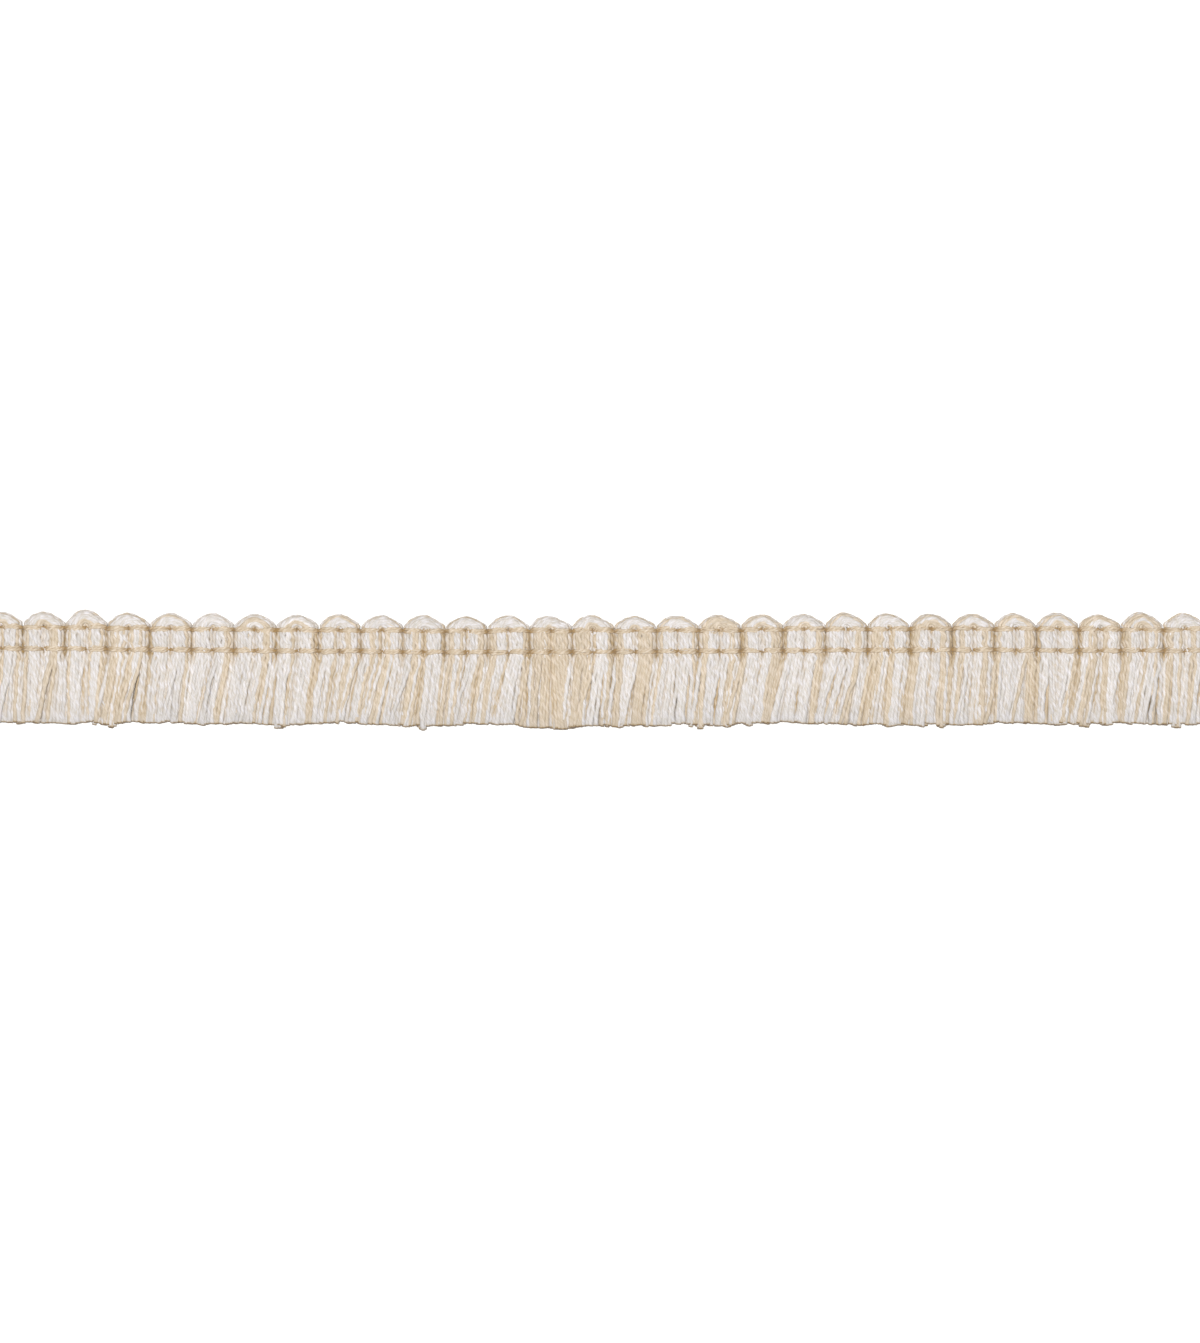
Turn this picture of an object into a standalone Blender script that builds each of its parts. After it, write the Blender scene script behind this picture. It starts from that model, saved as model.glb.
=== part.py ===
"""Brush fringe trim: a straight cut length, lying on its back with its face up.

Frame: +X along the trim, +Y towards the scalloped edge, +Z out of its face. Metres.
Each yarn bundle is an upturned U. Its turn is one scallop, its two legs are two ribs of the
heading, and below the heading they open into the cut locks of the brush. Two rows of chain
stitch cross the legs and dip between them, and hold the bundles side by side.
"""
import math
import random

import bmesh
import bpy
from mathutils import Vector

MM = 0.001

# Driving dimensions, in millimetres
BUNDLES = 30
PITCH = 11.5            # one scallop, valley to valley
ROW_SPACING = 5.6       # lower stitch row to upper stitch row, centre to centre
SCALLOP_HALF = 5.9      # the scallop is part of an ellipse that its neighbours cut short
PEAK_SHIFT = -0.4       # the scallops stand steeper on their left side
BRUSH = 20.05           # lower stitch row to the middle of the cut edge
CLEAR = 0.31            # between one bundle and the next
# How far the heading lies above a straight line, at places along it from left to right
RISE = (
    (-173.0, 1.1), (-150.0, 0.95), (-100.0, 0.4), (-45.0, 0.0), (10.0, 0.15),
    (60.0, 0.5), (95.0, 0.6), (150.0, 0.4), (173.0, 0.4),
)
TIP_RISE = 0.5          # how much of that the cut edge follows

# The legs of a bundle, and its turn
LEG_X = PITCH / 4
RIB_HALF = LEG_X - CLEAR / 2
WAIST_HALF = 2.12       # where a stitch row draws the leg in
WAIST_CROWN = 1.9
RIB_CROWN = 3.5
RIB_END = 1.6           # from a stitch row to where the rib has its full size
TURN_CROWN = 3.3
TURN_Y = ROW_SPACING + 1.45
TURN_HALF = (CLEAR / 2, 0.35)
TURN_STEPS = 6
SHOULDER = 0.15         # part of the width that rounds over at each side of a section
SIDE = 0.6              # part of the thickness that stands upright there

# The locks of the brush
LOCKS = 4
LOCK_GAP = 0.16
ROOT_Y = -1.7
ROOT_TOP = 2.9
MIDDLE = 0.45           # how far down a lock its middle section lies
MIDDLE_SWAY = 0.56      # how much of its lean it has there
MIDDLE_TOP = 2.8
TIP_TOP = 2.3
TOP_UNEVEN = 0.2
TIP_UNEVEN = 0.28

# The chain stitch
STITCH_HALF = 0.7       # across a float, at the middle of a rib
DIP_HALF = 0.45         # across the thread where it dips between two ribs
POST_HALF = 0.22
FLOAT_HALF = 1.45       # along the level part of a float
FLOAT_TOP = 3.8
FLOAT_UNDER = 2.95
DIP_TOP = 2.6
DIP_UNDER = 1.75

# One row for each bundle from the left. In millimetres: the scallop's height over the upper
# stitch row, how far its peak lies to the right, how far the brush leans at its left edge and
# at its middle, and how much longer than BRUSH its left and right leg are.
COLUMNS = ("height", "peak_shift", "edge_lean", "middle_lean", "left_extra", "right_extra")
SCALLOPS = (
    (4.1, 0.0, -1.0, -1.8, 0.0, -0.2),
    (4.2, 0.0, -1.3, -2.2, -0.1, 0.0),
    (4.9, 0.0, -1.1, -1.2, 0.3, -0.5),
    (4.1, 0.0, -1.6, -4.2, 0.6, -0.2),
    (4.2, 0.2, -1.9, -1.6, -0.2, -0.4),
    (4.3, 0.2, -2.0, -4.2, 0.0, -0.1),
    (4.2, 0.5, -2.6, -4.2, -0.3, -0.2),
    (4.0, 0.3, -2.4, -2.6, 0.4, 0.0),
    (4.3, 0.0, -2.6, -2.9, -0.2, -0.4),
    (4.1, 0.2, -3.2, -4.6, -0.4, 0.2),
    (4.2, 0.0, -2.4, -2.8, 0.3, 0.4),
    (3.9, 0.5, -1.6, -3.4, 0.3, -0.2),
    (4.2, 0.2, -3.0, -4.2, -0.3, 0.0),
    (3.9, -0.8, -1.3, -0.3, 0.8, 1.2),
    (4.1, -0.4, -0.2, -2.4, 0.8, 0.1),
    (3.8, 0.2, -0.4, -2.0, 0.7, 0.2),
    (3.9, 0.0, -2.6, -2.2, 0.3, 0.0),
    (4.0, -0.4, -0.8, -2.6, 0.3, 0.3),
    (4.1, 0.3, -2.6, -3.1, -0.2, -0.2),
    (4.1, 0.0, -4.2, -3.2, -0.5, -0.1),
    (4.4, -0.3, -3.2, -3.8, -0.2, 0.0),
    (4.2, -0.3, -3.1, -1.8, 0.3, 0.3),
    (4.1, 0.2, -2.2, -1.4, 0.2, 0.1),
    (4.0, 0.2, -1.4, -1.8, 0.3, 0.3),
    (4.2, -0.3, -1.4, -0.8, -0.4, -0.1),
    (4.4, 0.0, -1.2, -0.5, 0.3, 0.2),
    (3.9, -0.5, -2.2, -2.2, -0.1, -0.2),
    (4.1, -0.2, -1.4, -3.0, -0.2, 0.1),
    (4.4, 0.3, -0.6, -1.6, 0.0, 0.1),
    (4.1, 0.0, -1.2, -1.0, 0.0, 0.0),
)
LAST_LEAN = -0.8

CREAM = (0.80, 0.76, 0.71, 1.0)
TAN = (0.66, 0.52, 0.36, 1.0)


def bundle_x(index):
    return (index - (BUNDLES - 1) / 2) * PITCH


def bow(x):
    """How far the heading lies above a straight line at x."""
    place = 1
    while place < len(RISE) - 1 and x > RISE[place][0]:
        place += 1
    (left, low), (right, high) = RISE[place - 1], RISE[place]
    return low + (high - low) * (x - left) / (right - left)


def yarn_material(name, colour):
    material = bpy.data.materials.new(name)
    material.use_nodes = True
    shader = material.node_tree.nodes["Principled BSDF"]
    shader.inputs["Base Color"].default_value = colour
    shader.inputs["Roughness"].default_value = 0.85
    shader.inputs["Metallic"].default_value = 0.0
    return material


def vertex(bm, x, y, z):
    return bm.verts.new(Vector((x, y, z)) * MM)


def finished_object(name, bm, material, parent, location):
    bmesh.ops.recalc_face_normals(bm, faces=bm.faces)
    mesh = bpy.data.meshes.new(name)
    bm.to_mesh(mesh)
    bm.free()
    mesh.materials.append(material)
    thing = bpy.data.objects.new(name, mesh)
    bpy.context.scene.collection.objects.link(thing)
    thing.location = Vector(location) * MM
    thing.parent = parent
    return thing


def section(bm, inner, outer, crown):
    """A flat-backed section of yarns, from its inner edge to its outer edge."""
    across = Vector(outer) - Vector(inner)
    profile = (
        (0.0, 0.0), (0.0, SIDE * crown), (SHOULDER, crown),
        (1.0 - SHOULDER, crown), (1.0, SIDE * crown), (1.0, 0.0),
    )
    points = []
    for part, height in profile:
        place = Vector(inner) + across * part
        points.append(vertex(bm, place.x, place.y, height))
    return points


def leg_section(bm, side, y, half, crown):
    inner = (side * (LEG_X - half), y)
    outer = (side * (LEG_X + half), y)
    return section(bm, inner, outer, crown)


def turn_section(bm, angle, scallop):
    """A section across the turn, at an angle up from the left end of its ellipse."""
    rise = math.sin(angle)
    shift = (PEAK_SHIFT + scallop["peak_shift"]) * rise ** 3
    outer_x = shift - SCALLOP_HALF * math.cos(angle)
    outer = (outer_x, ROW_SPACING + scallop["height"] * rise)
    inner = (-TURN_HALF[0] * math.cos(angle), TURN_Y + TURN_HALF[1] * rise)
    return section(bm, inner, outer, TURN_CROWN)


def heading_sections(bm, scallop):
    """All sections of a bundle, up its left leg, round its turn and down its right leg."""
    leg = (
        (0.0, WAIST_HALF, WAIST_CROWN),
        (RIB_END, RIB_HALF, RIB_CROWN),
        (ROW_SPACING - RIB_END, RIB_HALF, RIB_CROWN),
        (ROW_SPACING, WAIST_HALF, WAIST_CROWN),
    )
    shoulder = math.acos((PITCH / 2 - CLEAR / 2) / SCALLOP_HALF)
    left = [leg_section(bm, -1, *row) for row in leg]
    turn = []
    for step in range(TURN_STEPS + 1):
        angle = shoulder + (math.pi - 2 * shoulder) * step / TURN_STEPS
        turn.append(turn_section(bm, angle, scallop))
    right = [leg_section(bm, 1, *row) for row in reversed(leg)]
    return left + turn + right


def join(bm, first, second):
    for here in range(len(first)):
        after = (here + 1) % len(first)
        bm.faces.new((first[here], first[after], second[after], second[here]))


def spread(start, end, gap):
    """The two sides of each lock that share the stretch from start to end."""
    step = (end - start) / LOCKS
    inset = math.copysign(gap / 2, step)
    sides = []
    for lock in range(LOCKS):
        near = start + step * lock + (inset if lock else 0.0)
        last = lock == LOCKS - 1
        far = start + step * (lock + 1) - (0.0 if last else inset)
        sides.append((near, far))
    return sides


def lock_section(bm, sides, y, top):
    near, far = sides
    corners = ((near, 0.0), (far, 0.0), (far, top), (near, top))
    return [vertex(bm, x, y, z) for x, z in corners]


def add_locks(bm, waist, side, tips, tip_y, dice):
    """Open one leg, below its lowest section, into the locks of the brush."""
    inner, outer = side * (LEG_X - RIB_HALF), side * (LEG_X + RIB_HALF)
    root_sides = spread(inner, outer, LOCK_GAP)
    tip_sides = spread(*tips, LOCK_GAP)
    roots = [lock_section(bm, pair, ROOT_Y, ROOT_TOP) for pair in root_sides]

    in_back, in_side, in_crown, out_crown, out_side, out_back = waist
    under = [corner for root in roots for corner in root[:2]]
    over = [corner for root in roots for corner in (root[3], root[2])]
    bm.faces.new([in_back, out_back] + under[::-1])
    bm.faces.new([in_crown, out_crown] + over[::-1])
    edges = ((in_back, in_side, in_crown, under[0], over[0]),
             (out_back, out_side, out_crown, under[-1], over[-1]))
    for back, upright, crown, low, high in edges:
        bm.faces.new((back, upright, low))
        bm.faces.new((upright, high, low))
        bm.faces.new((upright, crown, high))
    for left, right in zip(roots, roots[1:]):
        bm.faces.new((left[1], right[0], right[3], left[2]))

    for root, sides, ends in zip(roots, root_sides, tip_sides):
        middle_sides = [a + (b - a) * MIDDLE_SWAY for a, b in zip(sides, ends)]
        middle_y = ROOT_Y + (tip_y - ROOT_Y) * MIDDLE
        middle_top = MIDDLE_TOP + dice.uniform(-TOP_UNEVEN, TOP_UNEVEN)
        end_y = tip_y + dice.uniform(-TIP_UNEVEN, TIP_UNEVEN)
        end_top = TIP_TOP + dice.uniform(-TOP_UNEVEN, TOP_UNEVEN)
        middle = lock_section(bm, middle_sides, middle_y, middle_top)
        tip = lock_section(bm, ends, end_y, end_top)
        join(bm, root, middle)
        join(bm, middle, tip)
        bm.faces.new(tip)


def yarn_bundle(index, material, parent, dice):
    scallop = dict(zip(COLUMNS, SCALLOPS[index]))
    if index + 1 < BUNDLES:
        next_lean = dict(zip(COLUMNS, SCALLOPS[index + 1]))["edge_lean"]
    else:
        next_lean = LAST_LEAN
    x = bundle_x(index)
    bm = bmesh.new()
    rings = heading_sections(bm, scallop)
    for first, second in zip(rings, rings[1:]):
        join(bm, first, second)
    middle = scallop["middle_lean"]
    left_tips = (middle - CLEAR / 2, -PITCH / 2 + scallop["edge_lean"] + CLEAR / 2)
    right_tips = (middle + CLEAR / 2, PITCH / 2 + next_lean - CLEAR / 2)
    end_y = -BRUSH - (1.0 - TIP_RISE) * bow(x)
    left_y = end_y - scallop["left_extra"]
    right_y = end_y - scallop["right_extra"]
    add_locks(bm, rings[0], -1, left_tips, left_y, dice)
    add_locks(bm, rings[-1], 1, right_tips, right_y, dice)
    return finished_object(f"loop_{index + 1:02d}", bm, material, parent, (x, bow(x), 0.0))


def stitch_row(name, row_y, material, parent):
    """One row of chain stitch: a float over every rib and a thread down between ribs."""
    bm = bmesh.new()
    ribs = BUNDLES * 2
    rib = PITCH / 2
    ends = (-1, 1)

    def pair(x, half, z):
        y = row_y + bow(x)
        return [vertex(bm, x, y + end * half, z) for end in ends]

    posts = []
    for count in range(ribs + 1):
        x = (count - BUNDLES) * rib
        left, right = x - POST_HALF, x + POST_HALF
        foot = pair(left, DIP_HALF, 0.0), pair(right, DIP_HALF, 0.0)
        neck = pair(left, DIP_HALF, DIP_UNDER), pair(right, DIP_HALF, DIP_UNDER)
        dip = pair(x, DIP_HALF, DIP_TOP)
        bm.faces.new((*foot[0], *foot[1][::-1]))
        for low, high in zip(foot, neck):
            bm.faces.new((*low, *high[::-1]))
        for end in range(2):
            bm.faces.new((foot[0][end], foot[1][end], neck[1][end], neck[0][end]))
            bm.faces.new((neck[0][end], neck[1][end], dip[end]))
        posts.append((neck, dip))

    for count in range(ribs):
        x = (count - BUNDLES + 0.5) * rib
        (_, near_neck), near_dip = posts[count]
        (far_neck, _), far_dip = posts[count + 1]
        over = (near_dip, pair(x - FLOAT_HALF, STITCH_HALF, FLOAT_TOP),
                pair(x + FLOAT_HALF, STITCH_HALF, FLOAT_TOP), far_dip)
        under = (near_neck, pair(x - FLOAT_HALF, STITCH_HALF, FLOAT_UNDER),
                 pair(x + FLOAT_HALF, STITCH_HALF, FLOAT_UNDER), far_neck)
        for layer in (over, under):
            for first, second in zip(layer, layer[1:]):
                bm.faces.new((*first, *second[::-1]))
        for here in range(3):
            for end in range(2):
                bm.faces.new((over[here][end], over[here + 1][end],
                              under[here + 1][end], under[here][end]))

    (first_neck, _), first_dip = posts[0]
    (_, last_neck), last_dip = posts[-1]
    bm.faces.new((*first_neck, *first_dip[::-1]))
    bm.faces.new((*last_neck, *last_dip[::-1]))
    return finished_object(name, bm, material, parent, (0.0, 0.0, 0.0))


def centre_on_origin(parent, things):
    """Move the whole trim so that the middle of its back is at the origin."""
    corners = []
    for thing in things:
        corners.extend(thing.location + Vector(corner) for corner in thing.bound_box)
    low = [min(corner[axis] for corner in corners) for axis in range(2)]
    high = [max(corner[axis] for corner in corners) for axis in range(2)]
    parent.location = [-(a + b) / 2 for a, b in zip(low, high)] + [0.0]


def main():
    for thing in list(bpy.data.objects):
        bpy.data.objects.remove(thing, do_unlink=True)
    trim = bpy.data.objects.new("brush_fringe_trim", None)
    bpy.context.scene.collection.objects.link(trim)
    cream = yarn_material("cream yarn", CREAM)
    tan = yarn_material("tan stitching yarn", TAN)
    dice = random.Random(3)
    things = [yarn_bundle(index, cream, trim, dice) for index in range(BUNDLES)]
    things.append(stitch_row("lower_stitch", 0.0, tan, trim))
    things.append(stitch_row("upper_stitch", ROW_SPACING, tan, trim))
    bpy.context.view_layer.update()
    centre_on_origin(trim, things)


main()
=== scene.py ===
"""Brush fringe trim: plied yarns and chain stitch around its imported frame.

Lengths are in millimetres wherever a name or a comment doesn't say otherwise. +X runs along the
trim, +Y points to the scalloped edge, and +Z comes out of its face.
"""
import math
from collections import namedtuple

import bpy
import numpy as np
from bpy.props import FloatProperty, FloatVectorProperty, IntProperty, PointerProperty
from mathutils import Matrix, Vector


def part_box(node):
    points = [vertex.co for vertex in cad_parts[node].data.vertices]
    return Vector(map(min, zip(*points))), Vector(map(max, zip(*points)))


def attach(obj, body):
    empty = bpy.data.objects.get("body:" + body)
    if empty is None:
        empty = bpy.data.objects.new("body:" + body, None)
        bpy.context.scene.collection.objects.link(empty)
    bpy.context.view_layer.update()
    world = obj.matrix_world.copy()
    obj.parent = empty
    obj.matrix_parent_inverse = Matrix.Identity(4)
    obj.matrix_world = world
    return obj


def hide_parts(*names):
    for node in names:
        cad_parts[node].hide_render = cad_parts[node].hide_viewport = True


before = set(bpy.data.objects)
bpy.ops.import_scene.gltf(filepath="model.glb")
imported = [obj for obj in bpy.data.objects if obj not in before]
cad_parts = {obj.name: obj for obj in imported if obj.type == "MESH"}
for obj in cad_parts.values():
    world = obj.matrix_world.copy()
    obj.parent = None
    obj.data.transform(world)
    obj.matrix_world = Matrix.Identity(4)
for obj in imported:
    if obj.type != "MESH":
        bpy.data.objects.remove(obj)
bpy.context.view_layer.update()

bl_info = {
    "name": "Brush Fringe Trim",
    "version": (1, 0, 0),
    "blender": (4, 5, 0),
    "location": "3D View > Sidebar > Fringe",
    "description": "Dresses a brush fringe trim in its plied yarns and chain stitch",
    "category": "Add Mesh",
}

MM = 0.001

# The frame's own sizes
STITCH_HALF = 0.7       # across a float of a stitch row
POST_HALF = 0.22        # along the thread that dips between two ribs
# How far the heading lies above a straight line, at places along it from left to right
RISE = (
    (-173.0, 1.1), (-150.0, 0.95), (-100.0, 0.4), (-45.0, 0.0), (10.0, 0.15),
    (60.0, 0.5), (95.0, 0.6), (150.0, 0.4), (173.0, 0.4),
)
TIP_RISE = 0.5          # how much of that the cut edge follows


def frame_box(node):
    """Lowest and highest corner of a node, in millimetres."""
    return [np.array(corner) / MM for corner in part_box(node)]


LOOPS = sorted(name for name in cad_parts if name.startswith("loop_"))
LOWER_LOW, LOWER_HIGH = frame_box("lower_stitch")
UPPER_LOW = frame_box("upper_stitch")[0]
MIDDLE_X = (LOWER_LOW[0] + LOWER_HIGH[0]) / 2
PITCH = (LOWER_HIGH[0] - LOWER_LOW[0] - 2 * POST_HALF) / len(LOOPS)
RIB = PITCH / 2
RIBS = 2 * len(LOOPS)
LOWER_Y = LOWER_LOW[1] + STITCH_HALF
ROW_SPACING = UPPER_LOW[1] - LOWER_LOW[1]
BRUSH = 20.05           # lower stitch row to the middle of the cut edge

# One row for each bundle, from the left. The turn's height over the upper stitch row, how far
# its peak lies to the right, how far the brush leans at the bundle's left edge and middle, how
# much longer than BRUSH its left and right legs are, and the order of the yarns that lie on top:
# w is cream, t is tan. A leg's order is from left to right, and the turn's from its rim inwards.
Bundle = namedtuple("Bundle", "height peak_shift edge_lean middle_lean left_extra right_extra "
                    "left_yarns turn_yarns right_yarns")
BUNDLES = [Bundle(*row) for row in (
    (4.1, 0.0, -1.0, -1.8, 0.0, -0.2, "wwtwwww", "wwwwttt", "twwwwtw"),
    (4.2, 0.0, -1.3, -2.2, -0.1, 0.0, "wtwwwww", "wwwwttt", "wwtttww"),
    (4.9, 0.0, -1.1, -1.2, 0.3, -0.5, "wtwwwww", "wwwwttt", "wtwwwtt"),
    (4.1, 0.0, -1.6, -4.2, 0.6, -0.2, "wtttwtw", "wwwwwwt", "ttwwtww"),
    (4.2, 0.2, -1.9, -1.6, -0.2, -0.4, "twwwwww", "ttwwwwt", "wwwwwtw"),
    (4.3, 0.2, -2.0, -4.2, 0.0, -0.1, "wwwwwww", "wwwwwwt", "wwwwttw"),
    (4.2, 0.5, -2.6, -4.2, -0.3, -0.2, "wwwwwww", "wwttwwt", "wwwttww"),
    (4.0, 0.3, -2.4, -2.6, 0.4, 0.0, "wwwwwtw", "wwwttwt", "wwwwwtt"),
    (4.3, 0.0, -2.6, -2.9, -0.2, -0.4, "twwwwtw", "ttwwwwt", "wwttwwt"),
    (4.1, 0.2, -3.2, -4.6, -0.4, 0.2, "wwwttwt", "wwwwwwt", "wttwwww"),
    (4.2, 0.0, -2.4, -2.8, 0.3, 0.4, "wwwttwt", "wwwwwww", "twwwwwt"),
    (3.9, 0.5, -1.6, -3.4, 0.3, -0.2, "wttwwtw", "wwwwwwt", "wwwwttw"),
    (4.2, 0.2, -3.0, -4.2, -0.3, 0.0, "wttwwwt", "wwwwwwt", "wwwwwtt"),
    (3.9, -0.8, -1.3, -0.3, 0.8, 1.2, "wtttttt", "wwwwwtt", "ttttttw"),
    (4.1, -0.4, -0.2, -2.4, 0.8, 0.1, "wtttttw", "wwwwttt", "twwwwtt"),
    (3.8, 0.2, -0.4, -2.0, 0.7, 0.2, "wttwwww", "wwwwwtt", "wtttttw"),
    (3.9, 0.0, -2.6, -2.2, 0.3, 0.0, "wtwwwww", "ttwwwww", "wwwwwtt"),
    (4.0, -0.4, -0.8, -2.6, 0.3, 0.3, "wttwwww", "ttttttt", "wwwttww"),
    (4.1, 0.3, -2.6, -3.1, -0.2, -0.2, "ttwwwww", "ttwwttt", "wwwtttt"),
    (4.1, 0.0, -4.2, -3.2, -0.5, -0.1, "twwwwww", "wwwwttt", "wwwwttt"),
    (4.4, -0.3, -3.2, -3.8, -0.2, 0.0, "wwwwwww", "ttwwwww", "wwwttww"),
    (4.2, -0.3, -3.1, -1.8, 0.3, 0.3, "wttttww", "wwwwwwt", "ttwwwww"),
    (4.1, 0.2, -2.2, -1.4, 0.2, 0.1, "tttwwww", "ttwtttt", "wwwttwt"),
    (4.0, 0.2, -1.4, -1.8, 0.3, 0.3, "twttwww", "ttwwwtt", "wwwttww"),
    (4.2, -0.3, -1.4, -0.8, -0.4, -0.1, "ttwwwww", "tttwwww", "wwwtttt"),
    (4.4, 0.0, -1.2, -0.5, 0.3, 0.2, "twwwwww", "ttwwttt", "wwwwwtt"),
    (3.9, -0.5, -2.2, -2.2, -0.1, -0.2, "twwtttw", "tttwwww", "wttwwww"),
    (4.6, -0.2, -1.4, -3.0, -0.2, 0.1, "tttwwww", "tttwttt", "wtwwtww"),
    (4.4, 0.3, -0.6, -1.6, 0.0, 0.1, "wttwwtw", "twwwwwt", "wwttwww"),
    (4.1, 0.0, -1.2, -1.0, 0.0, 0.0, "wtwwwtw", "wwwwwtt", "wwtwwww"),
)]
LAST_LEAN = -0.8

# The sections that a bundle passes through. inner and outer are the points of its two edges,
# floor and crown its lowest and highest level, sunk_in and sunk_out the part of its height that
# it loses at those edges, squeeze what the thread leaves of its yarns' thickness, foot how much
# wider it is at its back, hollow how far under its face no light comes straight in, and down how
# far down the brush it lies, from 0 at the heading to 1 at the cut edge.
Section = namedtuple(
    "Section", "inner outer floor crown sunk_in sunk_out squeeze foot hollow down")

# A rib from its middle line: how far its yarns reach to the other rib of the bundle, and out to
# the next bundle.
RibSection = namedtuple("RibSection", "y inner outer floor crown squeeze hollow")
RIB_SECTIONS = [RibSection(*row) for row in (
    (-2.0, 3.00, 2.90, 0.0, 3.1, 1.0, 2.0),
    (-1.15, 2.62, 2.58, 0.2, 3.0, 0.86, 1.2),
    (-0.3, 2.54, 2.26, 0.3, 2.95, 0.84, 1.8),
    (0.6, 2.84, 2.60, 0.1, 3.2, 0.94, 2.1),
    (1.6, 3.00, 2.84, 0.0, 3.5, 1.0, 2.1),
    (ROW_SPACING / 2, 3.04, 2.90, 0.0, 3.7, 1.0, 2.1),
    (ROW_SPACING - 1.6, 3.00, 2.84, 0.0, 3.5, 1.0, 2.1),
    (ROW_SPACING - 0.8, 2.84, 2.60, 0.1, 3.2, 0.94, 2.1),
    (ROW_SPACING, 2.54, 2.26, 0.3, 2.95, 0.84, 2.0),
)]
RIB_FOOT = 7.1          # a rib is this wide at its back, all the way down
RIB_PACKING = 0.3       # how far the second layer lies under the face in a rib, next to the brush

OVERLAP = 0.30          # the locks of the brush lie this far over their neighbours
# How far down the brush each of its sections lies, and the section's crown
BRUSH_SECTIONS = ((0.12, 3.1), (0.3, 3.05), (0.55, 2.85), (0.8, 2.55), (1.0, 2.2))

# A scallop's outline is half an ellipse drawn out towards a bell. The sections lie along it.
TURN_SECTIONS = (0.06, 0.14, 0.28, 0.5, 0.72, 0.86, 0.94)
SCALLOP_HALF = 6.1
SHOULDER_RISE = 0.8     # scallops meet this far over the upper stitch row
ELLIPSE = 0.5           # how much of an ellipse it is, next to an even spacing
LEFT_BELL, RIGHT_BELL = 1.4, 1.6
PEAK_SHIFT, PEAK_POWER = -0.6, 3        # the peak leans this far, and its shoulders hardly
TURN_CROWN = 3.35
INNER_RISE = 0.4        # the innermost yarn turns this far over the upper stitch row

# The layers of yarn in a leg, from the top down: level, from 0 at the back to 1 at the face, how
# many more yarns than on top, and how many sections each yarn is drawn with
Layer = namedtuple("Layer", "level extra sections")
LAYERS = (Layer(1.0, 0, 130), Layer(0.70, 1, 70), Layer(0.0, 0, 50))
SIDES = 6               # of each yarn and thread


def linear(hex_colour):
    """An sRGB hex colour as linear red, green, blue and alpha."""
    parts = [int(hex_colour[at:at + 2], 16) / 255 for at in (0, 2, 4)]
    return tuple(
        part / 12.92 if part <= 0.04045 else ((part + 0.055) / 1.055) ** 2.4 for part in parts
    ) + (1.0,)


def bow(x):
    """How far the heading lies above a straight line at x, counted from its middle."""
    return np.interp(x, *zip(*RISE))


def bundle_x(index):
    return (index - (len(LOOPS) - 1) / 2) * PITCH


# ---- properties

class FringeYarn(bpy.types.PropertyGroup):
    """The yarn of the bundles."""
    diameter: FloatProperty(
        name="Yarn diameter", description="Across the two plies, in millimetres",
        default=1.35, min=0.5, max=1.6)
    ply_turn: FloatProperty(
        name="Ply turn", description="Length of one full turn of the plies, in millimetres",
        default=4.8, min=1.5, max=8.0)
    across: IntProperty(
        name="Yarns across a rib", description="Yarns side by side on top of one leg",
        default=7, min=7, max=7)
    cream: FloatVectorProperty(
        name="Cream", description="Colour of the cream yarn", subtype="COLOR",
        size=4, min=0.0, max=1.0, default=linear("D7D5D5"))
    tan: FloatVectorProperty(
        name="Tan", description="Colour of the tan yarn", subtype="COLOR",
        size=4, min=0.0, max=1.0, default=linear("D1C5B4"))


class FringeBrush(bpy.types.PropertyGroup):
    """The cut brush below the heading."""
    tip_uneven: FloatProperty(
        name="Uneven tips", description="Spread of the cut ends, in millimetres",
        default=0.045, min=0.0, max=1.0)
    tip_wave: FloatProperty(
        name="Wave of the cut edge", description="Spread of its slow waves, in millimetres",
        default=0.21, min=0.0, max=1.0)
    tip_locks: FloatProperty(
        name="Long locks", description="Share of the legs with a lock that the shears missed",
        default=0.2, min=0.0, max=1.0, subtype="FACTOR")
    stray: FloatProperty(
        name="Stray lean", description="Spread of each yarn's own lean, in millimetres",
        default=0.16, min=0.0, max=2.0)
    lock_lean: FloatProperty(
        name="Lean of the locks", description="Spread of each lock's own lean, in millimetres",
        default=0.45, min=0.0, max=2.0)
    clump: FloatProperty(
        name="Clumping", description="How far the yarns of a lock draw together",
        default=0.15, min=0.0, max=0.8, subtype="FACTOR")


class FringeStitch(bpy.types.PropertyGroup):
    """The chain stitch rows."""
    thread: FloatProperty(
        name="Thread diameter", description="Across the stitching thread, in millimetres",
        default=0.85, min=0.3, max=1.2)
    spread: FloatProperty(
        name="Link spread", description="Centre of a link to each of its legs, in millimetres",
        default=0.38, min=0.1, max=0.8)
    colour: FloatVectorProperty(
        name="Thread colour", description="Colour of the stitching thread", subtype="COLOR",
        size=4, min=0.0, max=1.0, default=linear("D4C8B6"))


# ---- materials

def add_node(tree, kind, inputs=(), **settings):
    """Adds a node. inputs holds pairs of a socket and the value or output that it takes."""
    made = tree.nodes.new("ShaderNode" + kind)
    for name, value in settings.items():
        setattr(made, name, value)
    for socket, value in inputs:
        if isinstance(value, bpy.types.NodeSocket):
            tree.links.new(value, made.inputs[socket])
        else:
            made.inputs[socket].default_value = value
    return made


def new_material(name, values):
    """A new material, its nodes and its shader, with values on the shader's own sockets."""
    material = bpy.data.materials.new(name)
    material.use_nodes = True
    shader = material.node_tree.nodes["Principled BSDF"]
    for socket, value in values.items():
        shader.inputs[socket].default_value = value
    return material, material.node_tree, shader


def new_object(name, data):
    thing = bpy.data.objects.new(name, data)
    bpy.context.scene.collection.objects.link(thing)
    return thing


def tinted(colour, by):
    """A colour with its red, green and blue each made lighter or darker."""
    return tuple(min(1.0, part * share) for part, share in zip(colour, by)) + (1.0,)


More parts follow.
